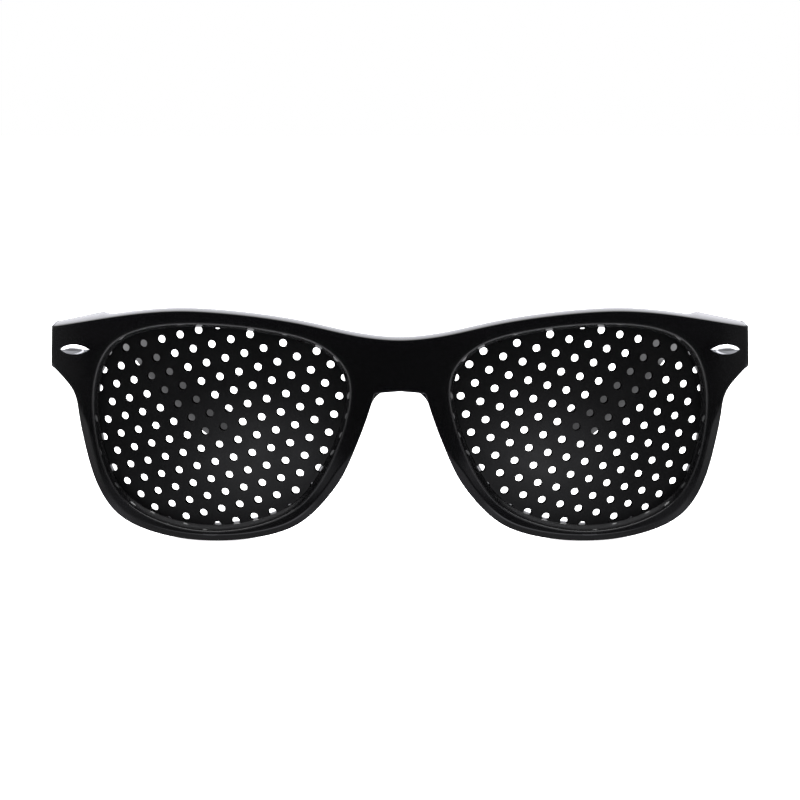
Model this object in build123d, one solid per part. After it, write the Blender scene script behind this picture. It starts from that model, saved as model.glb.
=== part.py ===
from build123d import *
import math
import os

# Pinhole glasses: a moulded front with two perforated lenses, and two hinged temples.
# The front is drawn square to its own plane: x across, z up from the lens spheres' centre line,
# y back from the foremost point of the face. The temples are drawn about their hinge axis.
# Sizes are in millimetres. The right side is drawn and the left is its mirror image.

# Lens openings, and the front's widths between and around them
opening_width = 53.8
opening_height = 44.9
opening_drop = 4.4
lens_gap = 20.6
end_width = 9.2
brow_rim = 2.7
low_rim = 2.25

# Curved slab that the front is cut from
front_thickness = 4.4
face_radius = 103.0
face_shift = 4.0
bridge_blend = 8.0
overrun = 5.0

# Brow, end piece and rim outline. Across, 0 is the middle, 1 and 2 are the sides of the opening
# and 3 is the front's end. Up, a share is one of the brow's height or of the rim's drop.
brow_shares = [(0.0, 0.685), (0.797, 0.73), (1.1451, 0.848), (1.3276, 0.938), (1.5116, 0.989),
               (1.6505, 1.0), (1.8863, 0.936), (2.978, 0.79)]
rim_shares = [(3.0, 0.275), (2.785, 0.22), (2.49, 0.11), (2.359, -0.05), (2.211, -0.315),
              (1.9803, -0.657), (1.9196, -0.8134), (1.7936, -0.936), (1.5388, -1.0),
              (1.3494, -0.9615), (1.2227, -0.879), (1.096, -0.662)]
nose_shares = [(1.0334, -0.49), (0.844, -0.2395), (0.515, 0.103)]
arch_rise_share = 0.1155

# Lens opening, in shares of half its width and height, x away from the nose
opening_shares = [(-0.04, 0.993), (0.27, 1.0), (0.60, 0.945), (0.86, 0.775), (0.985, 0.45),
                  (1.0, 0.05), (0.945, -0.34), (0.79, -0.70), (0.52, -0.905), (0.12, -0.995),
                  (-0.27, -0.93), (-0.60, -0.73), (-0.84, -0.32), (-0.978, 0.15), (-0.975, 0.53),
                  (-0.79, 0.78), (-0.45, 0.925)]

# Arcs that each smooth outline is made of
brow_arcs = 6
rim_arcs = 14
opening_arcs = 18

# Lens and its groove
lens_recess = 2.2
lens_thickness = 0.8
lens_edge = 0.8
groove_clearance = 0.05
hole_diameter = 1.75
hole_pitch = 4.0
hole_sides = 6
hole_turn = 11.0
pattern_turn = -14.6
lattice_angle = 60.0
pattern_shift_share = (-0.098, 0.188)
skin_steps = 4
skin_tolerance = 0.01

# Nose pads and the rounded web under the bridge
pad_width = 2.7
pad_depth = 4.6
pad_length = 18.0
pad_splay = 14.0
web_shares = [(0.149, 0.1135), (0.427, 0.0825), (0.602, -0.0206)]
web_corner_share = 1.15

# End pieces
end_length = 6.9
butt_width = 10.9
root_width = 14.8
end_block_drop = 5.3

# Hinges
hinge_drop = 0.2
pantoscopic_tilt = 10.5
knuckle_radius = 1.5
knuckle_height = 2.6
knuckle_gap = 0.05
hinge_back = 1.7
leaf_thickness = 0.9
front_leaf_width = 4.3
temple_leaf_length = 9.0
temple_leaf_height = 5.6
anchor_depth = 3.0
anchor_height = 4.6
anchor_clearance = 0.03
anchor_reach = 1.8
temple_anchor_height = 3.6
leaf_clearance = 0.2
screw_radius = 0.7
screw_head_radius = 1.2
screw_head_height = 0.6
screw_slot = 0.35
screw_clearance = 0.02
running_clearance = 0.05

# Temples
temple_thickness = 4.0
temple_gap = 0.15
side_step = 0.2
butt_top = 4.3
butt_bottom = 4.9
bar_half_height = 3.2
bow_start = 55.0
bow_radius = 160.0
bend_distance = 92.0
tip_distance = 136.0
tip_radius = 3.9
bend_outer_radius = 30.0
bend_inner_radius = 20.0

# Studs
stud_length = 6.2
stud_height = 2.2
stud_thickness = 0.55
stud_bevel = 0.35
stud_pin_radius = 0.5
stud_pin_length = 2.4
stud_pin_spacing = 3.2
stud_clearance = 0.02
stud_inset = 5.7
temple_stud_distance = 14.0

# Resting pose: tilt of the front from upright, and how finely its extent is measured
front_tilt = 4.1
mesh_size = 0.02

lens_spacing = lens_gap + opening_width
half_width = lens_spacing / 2 + opening_width / 2 + end_width
front_width = 2 * half_width
face_centre = lens_spacing / 2 - face_shift
brow_height = opening_height / 2 - opening_drop + brow_rim
rim_drop = opening_height / 2 + opening_drop + low_rim
end_middle = (brow_shares[-1][1] * brow_height + rim_shares[0][1] * rim_drop) / 2
stud_reach = half_width - stud_inset
face_sweep = 60.0
sphere_axis = Axis((0, face_radius, 0), (1, 0, 0))


def prism(sketch, front, back):
    """A sketch in x and z made solid between two depths."""
    return extrude(Plane.XZ.offset(-back) * sketch, back - front, dir=(0, -1, 0))


def both_sides(shape):
    return shape + mirror(shape, about=Plane.YZ)


def arcs(curve, count):
    """A curve as a chain of arcs, whose swept faces are plain cylinders."""
    steps = [curve @ (i / (2 * count)) for i in range(2 * count + 1)]
    return [ThreePointArc(*steps[i:i + 3]) for i in range(0, 2 * count, 2)]


def place(shares, height):
    """Points of the front's outline from their shares across and up."""
    stops = (0, lens_gap / 2, lens_gap / 2 + opening_width, half_width)
    points = []
    for x, z in shares:
        step = min(int(x), 2)
        points.append((stops[step] + (x - step) * (stops[step + 1] - stops[step]), z * height))
    return points


def front_slab():
    """Right half of the curved slab: a sphere that ends in a hollow bend at the bridge."""
    reach = half_width + overrun
    lean = math.asin((face_centre - bridge_blend) / face_radius)
    bend_radius = bridge_blend / math.sin(lean)
    bend_y = face_depth(bridge_blend, 0) - bend_radius * math.cos(lean)

    def edge(inset):
        sphere = face_radius - inset
        bend = bend_radius + inset
        end_lean = math.asin((reach - face_centre) / face_radius)
        start = (bend * math.sin(lean), bend_y + bend * math.cos(lean))
        middle = (face_centre, inset)
        stop = (face_centre + sphere * math.sin(end_lean), face_radius - sphere * math.cos(end_lean))
        half_lean = lean / 2
        hollow = ThreePointArc((0, bend_y + bend),
                               (bend * math.sin(half_lean), bend_y + bend * math.cos(half_lean)), start)
        return hollow + ThreePointArc(start, middle, stop), stop

    front_edge, front_stop = edge(0)
    back_edge, back_stop = edge(front_thickness)
    half = front_edge + back_edge + Line(front_stop, back_stop)
    half += Line(front_edge @ 0, back_edge @ 0)
    profile = make_face(half)
    solid = revolve(profile, axis=sphere_axis, revolution_arc=face_sweep)
    return solid.rotate(sphere_axis, -face_sweep / 2)


def front_outline():
    """Right half of the front's outline: brow, end piece, rim, nose edge and arch."""
    brow = place(brow_shares, brow_height)
    rim = place(rim_shares, rim_drop)
    nose = place(nose_shares, rim_drop)
    arch = (0, arch_rise_share * rim_drop)
    nose_edge = ThreePointArc(*nose)
    half = arcs(Spline(brow, tangents=[(1, 0), (1, -0.2)]), brow_arcs)
    half += [Line(brow[-1], rim[0])]
    half += arcs(Spline(rim + nose[:1], tangents=[(-1, -0.45), nose_edge % 0]), rim_arcs)
    half += [nose_edge, Line(nose[-1], arch), Line(arch, brow[0])]
    return make_face(half)


def opening_outline(grow=0.0):
    """Outline of the right lens opening, grown evenly by a margin."""
    points = [(lens_spacing / 2 + x * opening_width / 2, z * opening_height / 2 - opening_drop)
              for x, z in opening_shares]
    edge = Spline(points, periodic=True)
    if grow:
        steps = 2 * len(points)
        edge = Spline([edge @ (i / steps) + (edge % (i / steps)).rotate(Axis.Z, 90) * grow
                       for i in range(steps)], periodic=True)
    return make_face(arcs(edge, opening_arcs))


def face_depth(x, z, inset=0.0):
    """Depth of the right half's sphere at a point across and up, below the face by an inset."""
    return face_radius - math.sqrt((face_radius - inset) ** 2 - (x - face_centre) ** 2 - z ** 2)


def groove():
    """The groove for the lens: a slice of hollow ball a little wider than the lens."""
    lean = math.radians(face_sweep / 2)

    def arc(radius):
        return ThreePointArc(*[(face_centre + radius * math.sin(turn), face_radius - radius * math.cos(turn))
                               for turn in (-lean, 0, lean)])

    outer = arc(face_radius - lens_recess + groove_clearance)
    inner = arc(face_radius - lens_recess - lens_thickness - groove_clearance)
    profile = make_face(outer + inner + Line(outer @ 0, inner @ 0) + Line(outer @ 1, inner @ 1))
    ball = revolve(profile, axis=sphere_axis, revolution_arc=face_sweep)
    ball = ball.rotate(sphere_axis, -face_sweep / 2)
    return prism(opening_outline(lens_edge + groove_clearance), -overrun, butt_depth + overrun) & ball


def end_block():
    """The end piece runs back from the face to the butt that the temple meets."""
    end_root, end_inner = half_width - root_width, half_width - butt_width
    bottom = end_middle - end_block_drop
    root = face_depth(end_root, 0) + front_thickness / 2
    outer = half_width + overrun
    outer_root = face_depth(outer, 0) + front_thickness / 2
    back = butt_depth + overrun
    plan = make_face(Polyline([(end_root, root), (end_inner, butt_depth), (end_inner, back),
                               (outer, back), (outer, outer_root), (end_root, root)]))
    block = extrude(Pos(0, 0, bottom) * plan, brow_height - bottom, dir=(0, 0, 1))
    behind = Box(front_width, front_width, front_width, align=(Align.CENTER, Align.MIN, Align.CENTER))
    block &= prism(front_outline(), -overrun, back + overrun)
    return block - temple_frame * Pos(0, -hinge_back, 0) * behind


def nose_web():
    """The rounded corner behind the arch, in the back half of the thickness."""
    start, middle, stop = place(web_shares, rim_drop)
    across, up = place(nose_shares, rim_drop)[-1]
    corner = (across * web_corner_share, up * web_corner_share)
    face = make_face(Polyline([start, corner, stop]) + ThreePointArc(stop, middle, start))
    return prism(face, face_depth(bridge_blend, 0) + front_thickness / 2, butt_depth) & front_slab()


def nose_pad():
    """A moulded pad: a fin with a round back along the nose edge, spreading as it goes back."""
    (x_high, z_high), (x_low, z_low) = place([nose_shares[1], rim_shares[-1]], rim_drop)
    lean = math.degrees(math.atan2(x_low - x_high, z_high - z_low))
    across, up = (x_high + x_low) / 2, (z_high + z_low) / 2
    back = face_depth(across, up) + front_thickness
    arc_radius = (pad_length ** 2 / 4 + pad_depth ** 2) / (2 * pad_depth)
    disc = Cylinder(arc_radius, pad_width, align=(Align.CENTER, Align.CENTER, Align.MIN))
    fin = Pos(0, pad_depth - arc_radius, 0) * Rot(Y=90) * disc
    keep = Pos(0, -front_thickness / 2, 0) * Box(pad_length, pad_length, pad_length,
                                                 align=(Align.CENTER, Align.MIN, Align.CENTER))
    pad = Pos(across, back, up) * Rot(Y=-lean) * Rot(Z=-pad_splay) * (fin & keep)
    return pad & prism(front_outline(), -overrun, butt_depth + overrun)


def anchor(clearance=0.0):
    """The block of the front hinge half that is sunk in the end piece."""
    width = front_leaf_width - knuckle_radius - 2 * leaf_clearance
    block = Box(width + 2 * clearance, anchor_depth + clearance, anchor_height + 2 * clearance,
                align=(Align.CENTER, Align.MAX, Align.CENTER))
    return Pos(-knuckle_radius - leaf_clearance - width / 2, -hinge_back, 0) * block


def temple_anchor(clearance=0.0):
    """The block of the temple hinge half that is sunk in the temple."""
    length = temple_leaf_length / 2
    block = Box(anchor_reach + clearance, length + 2 * clearance, temple_anchor_height + 2 * clearance,
                align=(Align.MIN, Align.CENTER, Align.CENTER))
    return Pos(temple_inner, temple_leaf_length - length / 2 - leaf_clearance, 0) * block


def front_hinge():
    """Hinge half of the front: a leaf on the butt with two knuckles and its anchor."""
    stack = 3 * knuckle_height + 2 * knuckle_gap
    leaf = Pos(0, -hinge_back, 0) * Box(front_leaf_width, leaf_thickness, stack,
                                        align=(Align.MAX, Align.MIN, Align.CENTER))
    barrel = Cylinder(knuckle_radius, stack)
    gap = Box(2 * (knuckle_radius + leaf_clearance), 2 * (knuckle_radius + leaf_clearance),
              knuckle_height + 2 * knuckle_gap)
    bore = Cylinder(screw_radius + screw_clearance, stack + 2 * overrun)
    return leaf + barrel - gap - bore + anchor()


def temple_hinge():
    """Hinge half of the temple: the middle knuckle and a leaf along the temple's inner face."""
    neck_end = knuckle_radius + leaf_clearance
    neck = Pos(temple_inner, 0, 0) * Box(leaf_thickness, temple_leaf_length, knuckle_height,
                                         align=(Align.MAX, Align.MIN, Align.CENTER))
    leaf = Box(leaf_thickness, temple_leaf_length - neck_end, temple_leaf_height,
               align=(Align.MAX, Align.MIN, Align.CENTER))
    leaf = Pos(temple_inner, neck_end, 0) * leaf
    barrel = Cylinder(knuckle_radius, knuckle_height)
    bore = Cylinder(screw_radius + running_clearance, knuckle_height + 2 * overrun)
    return barrel + neck + leaf - bore + temple_anchor()


def hinge_screw():
    """The hinge's pin: a cheese-head screw whose tip ends flush with the lowest knuckle."""
    stack = 3 * knuckle_height + 2 * knuckle_gap
    shank = Cylinder(screw_radius, stack)
    head = Pos(0, 0, stack / 2) * Cylinder(screw_head_radius, screw_head_height,
                                           align=(Align.CENTER, Align.CENTER, Align.MIN))
    slot = Pos(0, 0, stack / 2 + screw_head_height) * Box(2 * overrun, screw_slot, screw_slot * 2)
    return shank + head - slot


def stud():
    """An almond with sloping sides, where two wide low cones cross, on two pins."""
    radius = (stud_length ** 2 + stud_height ** 2) / (4 * stud_height)
    apart = radius - stud_height / 2
    cone = Cone(radius, radius - stud_bevel, stud_thickness, align=(Align.CENTER, Align.CENTER, Align.MIN))
    return (Pos(0, apart, 0) * cone & Pos(0, -apart, 0) * cone) + stud_pins()


def stud_pins(clearance=0.0):
    """The stud's two pins, or with a clearance the holes that they go in."""
    pin = Cylinder(stud_pin_radius + clearance, stud_pin_length + clearance,
                   align=(Align.CENTER, Align.CENTER, Align.MAX))
    return Pos(-stud_pin_spacing / 2, 0, 0) * pin + Pos(stud_pin_spacing / 2, 0, 0) * pin


def stud_place():
    """Where the front stud sits: square to the face, on the end piece."""
    y = face_depth(stud_reach, end_middle)
    out = Vector(stud_reach - face_centre, y - face_radius, end_middle).normalized()
    return Location(Plane(origin=(stud_reach, y, end_middle), x_dir=(-out.Y, out.X, 0), z_dir=out))


def temple_stud_place():
    """Where the temple stud sits: on the outer face, in the temple's own frame."""
    origin = (temple_inner + temple_thickness, temple_stud_distance, 0)
    return Location(Plane(origin=origin, x_dir=(0, 1, 0), z_dir=(1, 0, 0)))


def half_front():
    """Right half of the front, with its lens groove, pin holes and hinge pocket."""
    body = prism(front_outline(), -overrun, butt_depth + overrun) & front_slab()
    body += [end_block(), nose_web(), nose_pad()]
    body -= prism(opening_outline(), -overrun, butt_depth + overrun)
    body -= groove()
    body -= stud_place() * stud_pins(stud_clearance)
    return body - temple_frame * anchor(anchor_clearance)


def pinholes():
    """Triangular lattice of holes, all parallel, as wide as the lens."""
    turn = math.radians(hole_turn)
    out = Vector(math.sin(turn), -math.cos(turn), 0)
    across = Vector(math.cos(turn), math.sin(turn), 0)
    middle = Vector(lens_spacing / 2, face_depth(lens_spacing / 2, -opening_drop, lens_recess), -opening_drop)
    shift_across, shift_up = [share * hole_pitch for share in pattern_shift_share]
    middle += across * shift_across + Vector(0, 0, shift_up)
    plane = Plane(origin=middle - out * overrun, x_dir=across, z_dir=out)
    rows = math.ceil(opening_width / hole_pitch)
    tool = extrude(RegularPolygon(hole_diameter / 2, hole_sides), 3 * overrun)
    places = []
    for i in range(-rows, rows + 1):
        for j in range(-rows, rows + 1):
            first, second = math.radians(pattern_turn), math.radians(pattern_turn + lattice_angle)
            u = hole_pitch * (i * math.cos(first) + j * math.cos(second))
            v = hole_pitch * (i * math.sin(first) + j * math.sin(second))
            if abs(u) < opening_width / 2 + hole_pitch and abs(v) < opening_height / 2 + hole_pitch:
                places.append(Pos(u, v, 0) * tool)
    return [Location(plane) * place for place in places]


def ball_patch(inset):
    """A patch of sphere below the face by an inset, drawn through a grid of points."""
    reach = opening_width / 2 + face_shift + lens_edge + overrun
    steps = [reach * (2 * i / skin_steps - 1) for i in range(skin_steps + 1)]
    grid = [[Vector(face_centre + u, face_depth(face_centre + u, v, inset), v) for v in steps]
            for u in steps]
    return Face.make_surface_from_array_of_points(grid, tol=skin_tolerance)


def lens():
    """Right lens: a thin slice of ball pierced by the lattice of pinholes."""
    outer, inner = [Solid.extrude(ball_patch(inset), Vector(0, face_radius, 0))
                    for inset in (lens_recess, lens_recess + lens_thickness)]
    blank = prism(opening_outline(lens_edge), -overrun, butt_depth + overrun) & (outer - inner)
    return blank - pinholes()


def temple(tip_height):
    """Right temple: the side view and the plan view made solid and crossed, then rounded."""
    start = temple_gap - hinge_back
    bend, tip = Vector(bend_distance, 0), Vector(tip_distance, tip_height)
    turn = math.atan2(bend.Y - tip.Y, tip.X - bend.X)
    along, up = Vector(math.cos(turn), -math.sin(turn)), Vector(math.sin(turn), math.cos(turn))
    corner = Vector(math.tan(turn / 2), 1) * bar_half_height
    top = FilletPolyline([(start, butt_top), bend + corner, tip + up * tip_radius], radius=bend_outer_radius)
    low = FilletPolyline([tip - up * tip_radius, bend - corner, (start, -butt_bottom)],
                         radius=bend_inner_radius)
    side = top + ThreePointArc(top @ 1, tip + along * tip_radius, low @ 0) + low + Line(low @ 1, top @ 0)
    side_body = extrude(Plane.YZ * make_face(side), front_width, both=True)

    sweep = math.asin((tip_distance + tip_radius + overrun - bow_start) / bow_radius)
    centre = temple_inner + temple_thickness / 2 - bow_radius

    def bow(radius):
        mid, end = sweep / 2, sweep
        straight = Line((centre + radius, start), (centre + radius, bow_start))
        return straight + ThreePointArc((centre + radius, bow_start),
                                        (centre + radius * math.cos(mid), bow_start + radius * math.sin(mid)),
                                        (centre + radius * math.cos(end), bow_start + radius * math.sin(end)))

    outer, inner = bow(bow_radius + temple_thickness / 2), bow(bow_radius - temple_thickness / 2)
    plan = outer + inner + Line(outer @ 0, inner @ 0) + Line(outer @ 1, inner @ 1)
    plan_body = extrude(Pos(0, 0, -front_width) * make_face(plan), 2 * front_width, dir=(0, 0, 1))
    body = side_body & plan_body
    return body - temple_anchor(anchor_clearance) - temple_stud_place() * stud_pins(stud_clearance)


butt_depth = face_depth(half_width, 0) + end_length
temple_inner = knuckle_radius + leaf_clearance
hinge_x = half_width - side_step - temple_thickness - temple_inner
hinge_y = butt_depth + hinge_back
hinge_height = end_middle - hinge_drop
temple_frame = Pos(hinge_x, hinge_y, hinge_height) * Rot(X=-pantoscopic_tilt)

# Resting pose: the rims' lowest points and the round temple tips all touch the ground
front_right = half_front()
front = both_sides(front_right)
tilt = math.radians(front_tilt)
slope = math.radians(pantoscopic_tilt - front_tilt)
lift = -min(point.Z for point in (Rot(X=front_tilt) * front).tessellate(mesh_size)[0])
axis_height = hinge_y * math.sin(tilt) + hinge_height * math.cos(tilt) + lift
tip_height = (tip_radius - axis_height + tip_distance * math.sin(slope)) / math.cos(slope)

right = {
    "lens": lens(),
    "front_stud": stud_place() * stud(),
    "front_hinge": temple_frame * front_hinge(),
    "hinge_screw": temple_frame * hinge_screw(),
    "temple": temple_frame * temple(tip_height),
    "temple_hinge": temple_frame * temple_hinge(),
    "temple_stud": temple_frame * temple_stud_place() * stud(),
}
nodes = {"front_frame": front}
for name, solid in right.items():
    nodes[name + "_left"] = mirror(solid, about=Plane.YZ)
    nodes[name + "_right"] = solid

# The origin is under the middle of the whole, on the ground
tilted = {name: Pos(0, 0, lift) * Rot(X=front_tilt) * solid for name, solid in nodes.items()}
depths = [point.Y for solid in tilted.values() for point in solid.tessellate(mesh_size)[0]]
middle_y = (min(depths) + max(depths)) / 2

os.makedirs("parts", exist_ok=True)
for name, solid in tilted.items():
    export_step(Pos(0, -middle_y, 0) * solid, "parts/" + name + ".step")
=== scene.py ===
"""Looks of the pinhole glasses: glossy black front and temples, satin lenses with round pinholes."""
import math

import bpy
import numpy as np
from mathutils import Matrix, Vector
from mathutils.geometry import delaunay_2d_cdt


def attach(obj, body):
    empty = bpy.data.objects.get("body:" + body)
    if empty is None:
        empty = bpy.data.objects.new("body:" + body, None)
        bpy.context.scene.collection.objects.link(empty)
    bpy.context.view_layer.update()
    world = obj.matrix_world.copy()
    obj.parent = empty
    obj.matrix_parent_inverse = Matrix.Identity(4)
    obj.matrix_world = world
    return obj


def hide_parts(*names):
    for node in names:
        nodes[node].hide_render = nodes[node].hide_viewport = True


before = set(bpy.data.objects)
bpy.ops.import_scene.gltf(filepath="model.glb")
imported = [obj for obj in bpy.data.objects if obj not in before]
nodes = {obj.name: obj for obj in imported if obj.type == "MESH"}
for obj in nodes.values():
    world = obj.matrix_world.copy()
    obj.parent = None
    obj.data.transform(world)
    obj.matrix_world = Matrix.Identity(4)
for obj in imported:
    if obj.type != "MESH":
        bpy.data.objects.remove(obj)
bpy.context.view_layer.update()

MM = 0.001
scene = bpy.context.scene

# Sizes of the solids, in millimetres, in the front's own plane: x across, y back, z up
OPENING_WIDTH = 53.8
OPENING_HEIGHT = 44.9
OPENING_DROP = 4.4
LENS_GAP = 20.6
END_WIDTH = 9.2
BROW_RIM, LOW_RIM = 2.7, 2.25
LENS_SPACING = LENS_GAP + OPENING_WIDTH
HALF_WIDTH = LENS_SPACING / 2 + OPENING_WIDTH / 2 + END_WIDTH
BROW_HEIGHT = OPENING_HEIGHT / 2 - OPENING_DROP + BROW_RIM
RIM_DROP = OPENING_HEIGHT / 2 + OPENING_DROP + LOW_RIM
THICKNESS = 4.4
FACE_RADIUS = 103.0
FACE_CENTRE = LENS_SPACING / 2 - 4.0
BRIDGE_BLEND = 8.0

# Outlines. Across, 0 is the middle, 1 and 2 are the sides of the opening and 3 is the front's end.
STOPS = (0, LENS_GAP / 2, LENS_GAP / 2 + OPENING_WIDTH, HALF_WIDTH)
BROW = [(0.0, 0.685), (0.797, 0.73), (1.1451, 0.848), (1.3276, 0.938), (1.5116, 0.989),
        (1.6505, 1.0), (1.8863, 0.936), (2.978, 0.79)]
RIM = [(3.0, 0.275), (2.785, 0.22), (2.49, 0.11), (2.359, -0.05), (2.211, -0.315),
       (1.9803, -0.657), (1.9196, -0.8134), (1.7936, -0.936), (1.5388, -1.0),
       (1.3494, -0.9615), (1.2227, -0.879), (1.096, -0.662)]
NOSE = [(1.0334, -0.49), (0.844, -0.2395), (0.515, 0.103)]
ARCH_RISE = 0.1155
OPENING = [(-0.04, 0.993), (0.27, 1.0), (0.60, 0.945), (0.86, 0.775), (0.985, 0.45),
           (1.0, 0.05), (0.945, -0.34), (0.79, -0.70), (0.52, -0.905), (0.12, -0.995),
           (-0.27, -0.93), (-0.60, -0.73), (-0.84, -0.32), (-0.978, 0.15), (-0.975, 0.53),
           (-0.79, 0.78), (-0.45, 0.925)]
WEB = [(0.149, 0.1135), (0.427, 0.0825), (0.602, -0.0206)]
WEB_CORNER = 1.15
LENS_RECESS = 2.2
LENS_THICKNESS = 0.8
HOLE_DIAMETER = 1.6  # round, with about the area of the solids' six-sided holes
HOLE_PITCH = 4.0
HOLE_TURN = 11.0
PATTERN_TURN = -14.6
PATTERN_SHIFT = (-0.098, 0.188)
PAD_DEPTH = 4.6
PAD_LENGTH = 18.0
PAD_SPLAY = 14.0
END_ROOT = HALF_WIDTH - 14.8
END_INNER = HALF_WIDTH - 10.9
END_MIDDLE = (BROW[-1][1] * BROW_HEIGHT + RIM[0][1] * RIM_DROP) / 2
END_BOTTOM = END_MIDDLE - 5.3
BUTT_DEPTH = 15.026
HINGE_X, HINGE_Y, HINGE_Z = 67.4, 16.726, END_MIDDLE - 0.2
HINGE_BACK = 1.7
TEMPLE_LEAN = 10.5
TEMPLE_INNER = 1.7
TEMPLE_THICKNESS = 4.0
TEMPLE_GAP = 0.15
BUTT_TOP, BUTT_BOTTOM = 4.3, 4.9
BAR_HALF = 3.2
BOW_START, BOW_RADIUS = 55.0, 160.0
BEND_AT = 92.0
TIP_AT, TIP_RISE, TIP_RADIUS = 136.0, -22.968, 3.9
BEND_OUTER, BEND_INNER = 30.0, 20.0

# Resting pose of the front in the row frame
FRONT_TILT = 4.1
LIFT, SHIFT = 28.7218, -76.2869

# Camera: distance from the front, focal length and principal point in pixels of the 800 pixel image
CAMERA_DISTANCE = 450.0
CAMERA_TILT = 12.5
CAMERA_DROP = 3.0
FOCAL_PIXELS = 2169.3
IMAGE_SIZE = 800.0
PRINCIPAL = (400.0, 426.0)
SENSOR = 36.0


def row_points(points):
    """Points of the front's own plane, in millimetres, to metres in the row frame."""
    tilt = math.radians(FRONT_TILT)
    x, y, z = np.asarray(points, float).T
    return np.stack([x, y * math.cos(tilt) - z * math.sin(tilt) + SHIFT,
                     y * math.sin(tilt) + z * math.cos(tilt) + LIFT], 1) * MM


def temple_points(points):
    """Points about the right hinge axis to points of the front's own plane."""
    lean = math.radians(-TEMPLE_LEAN)
    x, y, z = np.asarray(points, float).T
    return np.stack([x + HINGE_X, y * math.cos(lean) - z * math.sin(lean) + HINGE_Y,
                     y * math.sin(lean) + z * math.cos(lean) + HINGE_Z], 1)


def spline(points, start=None, end=None, closed=False, step=0.8):
    """Cubic curve through the points with continuous curvature, sampled about every step."""
    p = np.asarray(points, float)
    if closed:
        p = np.vstack([p, p[:1]])
    h = np.linalg.norm(np.diff(p, axis=0), axis=1)
    n = len(p)
    a = np.zeros((n, n))
    b = np.zeros((n, 2))
    for i in range(1, n - 1):
        a[i, i - 1], a[i, i], a[i, i + 1] = 1 / h[i - 1], 2 / h[i - 1] + 2 / h[i], 1 / h[i]
        b[i] = 3 * (p[i] - p[i - 1]) / h[i - 1] ** 2 + 3 * (p[i + 1] - p[i]) / h[i] ** 2
    if closed:
        a[0, 0], a[0, n - 1] = 1, -1
        a[n - 1, 0], a[n - 1, n - 2], a[n - 1, 1] = 2 / h[-1] + 2 / h[0], 1 / h[-1], 1 / h[0]
        b[n - 1] = 3 * (p[0] - p[n - 2]) / h[-1] ** 2 + 3 * (p[1] - p[0]) / h[0] ** 2
    else:
        a[0, 0] = a[n - 1, n - 1] = 1
        b[0] = np.asarray(start) / np.linalg.norm(start)
        b[n - 1] = np.asarray(end) / np.linalg.norm(end)
    m = np.linalg.solve(a, b)
    out = []
    for i in range(n - 1):
        count = max(2, round(h[i] / step))
        for t in np.arange(count) / count:
            out.append((2 * t ** 3 - 3 * t ** 2 + 1) * p[i] + (t ** 3 - 2 * t ** 2 + t) * h[i] * m[i]
                       + (3 * t ** 2 - 2 * t ** 3) * p[i + 1] + (t ** 3 - t ** 2) * h[i] * m[i + 1])
    if not closed:
        out.append(p[-1])
    return np.array(out)


def arc(a, b, c, count):
    """Points on the circle through three points, from the first to the last."""
    (ax, az), (bx, bz), (cx, cz) = a, b, c
    d = 2 * (ax * (bz - cz) + bx * (cz - az) + cx * (az - bz))
    sa, sb, sc = ax ** 2 + az ** 2, bx ** 2 + bz ** 2, cx ** 2 + cz ** 2
    centre = np.array([(sa * (bz - cz) + sb * (cz - az) + sc * (az - bz)) / d,
                       (sa * (cx - bx) + sb * (ax - cx) + sc * (bx - ax)) / d])
    radius = np.hypot(*(np.array(a) - centre))
    turn = [math.atan2(p[1] - centre[1], p[0] - centre[0]) for p in (a, b, c)]
    sweep = (turn[2] - turn[0]) % (2 * math.pi)
    if (turn[1] - turn[0]) % (2 * math.pi) > sweep:
        sweep -= 2 * math.pi
    t = turn[0] + sweep * np.linspace(0, 1, count)
    return centre + radius * np.stack([np.cos(t), np.sin(t)], 1)


def line(a, b, step=0.8):
    count = max(2, round(math.dist(a, b) / step) + 1)
    return np.linspace(a, b, count)


def chain(*parts):
    """Pieces of outline joined end to end, without the doubled points."""
    out = list(parts[0])
    for part in parts[1:]:
        out += list(part[1:])
    return np.array(out)


def mirrored(points):
    return points[::-1] * (-1, 1)


def side_name(side):
    return "right" if side > 0 else "left"


def place(shares, height):
    """Points of the front's outline from their shares across and up."""
    return [(float(np.interp(x, range(len(STOPS)), STOPS)), z * height) for x, z in shares]


def front_outline():
    """Whole outline of the front, clockwise from the middle of the brow."""
    brow, rim, nose = place(BROW, BROW_HEIGHT), place(RIM, RIM_DROP), place(NOSE, RIM_DROP)
    edge = arc(*nose, 24)
    half = chain(spline(brow, (1, 0), (1, -0.2)), line(brow[-1], rim[0]),
                 spline(rim + nose[:1], (-1, -0.45), edge[1] - edge[0]), edge,
                 line(nose[-1], (0, ARCH_RISE * RIM_DROP)))
    return np.vstack([half, mirrored(half)[1:-1]])


def opening_outline(grow=0.0, step=0.8):
    """Outline of the right lens opening, clockwise, grown evenly by a margin."""
    loop = spline([(LENS_SPACING / 2 + x * OPENING_WIDTH / 2, z * OPENING_HEIGHT / 2 - OPENING_DROP)
                   for x, z in OPENING], closed=True, step=step)
    return loop + grow * loop_normals(loop)


def loop_normals(loop):
    """Unit normals on the left of a closed loop: outward where it runs clockwise."""
    along = np.roll(loop, -1, 0) - np.roll(loop, 1, 0)
    normal = np.stack([-along[:, 1], along[:, 0]], 1)
    return normal / np.linalg.norm(normal, axis=1, keepdims=True)


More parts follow.
